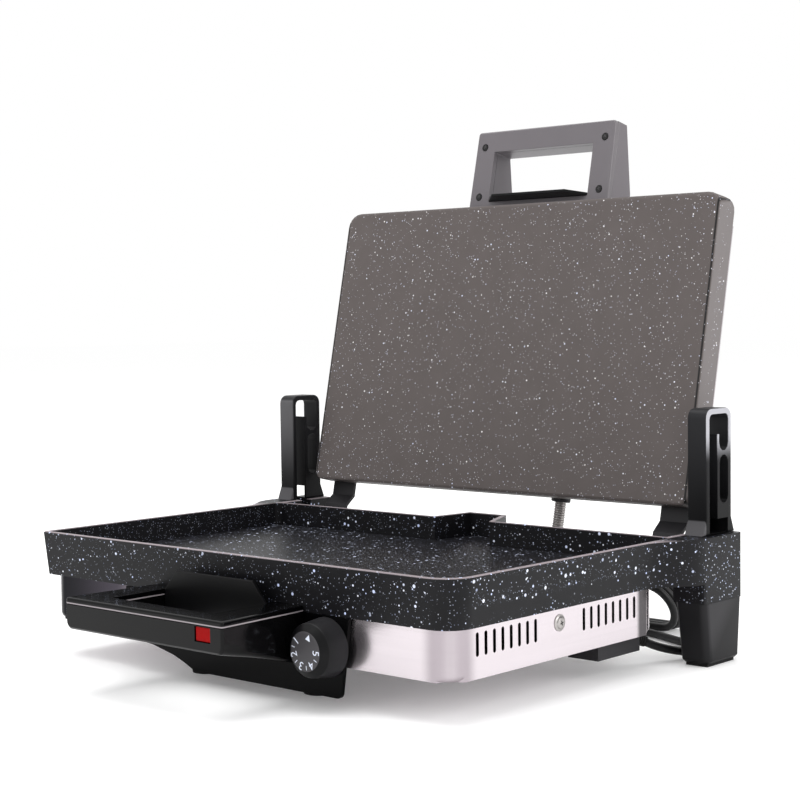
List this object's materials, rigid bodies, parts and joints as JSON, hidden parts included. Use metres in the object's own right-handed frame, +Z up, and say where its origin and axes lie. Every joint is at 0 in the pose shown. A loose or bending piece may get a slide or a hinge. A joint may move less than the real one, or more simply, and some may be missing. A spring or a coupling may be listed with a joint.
{
  "type": "sandwich maker",
  "caption": "Large contact sandwich maker with a deep granite-coated tray, a steel-backed lid that floats on rear posts, two hand grips, a temperature knob and a coiled mains cord.",
  "frame": {"origin": "centre of the appliance's footprint box on the table, the loose mains cord, its hank and its plug left out", "axes": "+Z up, -Y towards the user (the handle and knob side), +X to the user's right; the lid is stored open, leaning back on its stop"},
  "size_m": [0.449, 0.4708, 0.4134],
  "materials": {
    "granite_black": "black non-stick coating with fine white and blue specks",
    "granite_brown": "warm grey-brown non-stick coating with fine specks",
    "brushed_steel": "brushed stainless sheet",
    "gloss_plastic": "glossy black",
    "satin_plastic": "satin black",
    "handle_plastic": "satin charcoal with a grey sheen",
    "plated_steel": "zinc-plated steel",
    "black_screw": "black oxide",
    "red_lens": "clear red",
    "rubber": "matt black",
    "cord_pvc": "black PVC sheath",
    "ceramic": "off-white ceramic",
    "element_steel": "dark heated steel sheath"
  },
  "bodies": {
    "base": {"cooking_tray": "granite_black", "base_pan": "brushed_steel", "lower_heating_element": "element_steel", "thermostat": "ceramic", "thermal_fuse": "plated_steel", "terminal_block": "ceramic", "control_panel": "satin_plastic", "front_handle_upper_shell": "gloss_plastic", "front_handle_lower_shell": "gloss_plastic", "front_handle_screw_1": "plated_steel", "front_handle_screw_2": "plated_steel", "front_finger_guard": "satin_plastic", "indicator_lens": "red_lens", "indicator_lamp": "ceramic", "right_leg": "satin_plastic", "left_leg": "satin_plastic", "right_rear_foot_pad": "rubber", "left_rear_foot_pad": "rubber", "right_front_foot": "rubber", "left_front_foot": "rubber", "right_hinge_post": "satin_plastic", "left_hinge_post": "satin_plastic", "post_screw_1": "plated_steel", "post_screw_2": "plated_steel", "right_side_screw": "plated_steel", "left_side_screw": "plated_steel", "cord_entry_box": "satin_plastic", "strain_relief": "rubber", "power_cord_run": "cord_pvc", "cord_hank": "cord_pvc", "power_cord_tail": "cord_pvc", "plug": "satin_plastic", "conduit_grommet": "satin_plastic", "flexible_conduit": "plated_steel"},
    "hinge_pins": {"right_hinge_pin": "plated_steel", "left_hinge_pin": "plated_steel"},
    "lid": {"upper_plate": "granite_brown", "lid_cover": "brushed_steel", "upper_heating_element": "element_steel", "lid_handle_face_shell": "handle_plastic", "lid_handle_back_shell": "handle_plastic", "lid_handle_screw_1": "black_screw", "lid_handle_screw_2": "black_screw", "lid_handle_screw_3": "black_screw", "lid_handle_screw_4": "black_screw", "lid_finger_guard": "satin_plastic", "right_hinge_arm": "satin_plastic", "left_hinge_arm": "satin_plastic", "hinge_arm_screw_1": "plated_steel", "hinge_arm_screw_2": "plated_steel", "handle_foot_screw_1": "plated_steel", "handle_foot_screw_2": "plated_steel", "lid_conduit_gland": "satin_plastic"},
    "knob": {"control_knob": "satin_plastic", "thermostat_shaft": "plated_steel"}
  },
  "joints": [
    {"name": "lid_float", "type": "slide", "parent": "base", "child": "hinge_pins", "axis": [0, 0, 1], "range_m": [0, 0.05], "deforming": ["flexible_conduit"]},
    {"name": "lid_hinge", "type": "hinge", "parent": "hinge_pins", "child": "lid", "pos_m": [0, 0.11971, 0.08038], "axis": [1, 0, 0], "range_deg": [0, 102.24], "deforming": ["flexible_conduit"]},
    {"name": "knob_turn", "type": "hinge", "parent": "base", "child": "knob", "pos_m": [0.0957, -0.15682, 0.041], "axis": [0, 1, 0], "range_deg": [-20, 270]}
  ]
}
